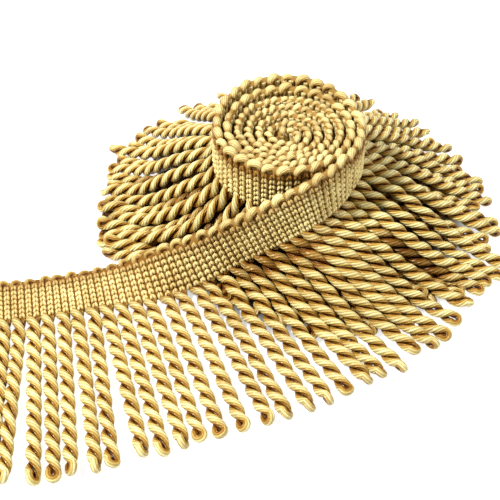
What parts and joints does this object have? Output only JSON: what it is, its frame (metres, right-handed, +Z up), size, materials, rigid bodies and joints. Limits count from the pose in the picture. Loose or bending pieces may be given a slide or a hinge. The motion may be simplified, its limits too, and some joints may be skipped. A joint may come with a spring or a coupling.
{
  "type": "cord fringe trim",
  "caption": "Twisted-cord fringe on a ribbed woven heading, wound into a standing roll on its spread cords, with the free end unwound flat in front.",
  "frame": {"origin": "on the roll's axis, at the flat underside of the spread cords where they rest on the table", "axes": "+Z up along the roll's axis, -Y towards the viewer, where the flat cords point, -X towards the cut end of the free length"},
  "size_m": [0.171, 0.1768, 0.0504],
  "materials": {
    "heading": "lustrous gold ribbed weave",
    "cord": "lustrous gold twisted cord"
  },
  "bodies": {
    "root": {"heading_roll": "heading", "fringe_roll": "cord", "heading_tail": "heading", "fringe_tail": "cord"}
  },
  "joints": []
}
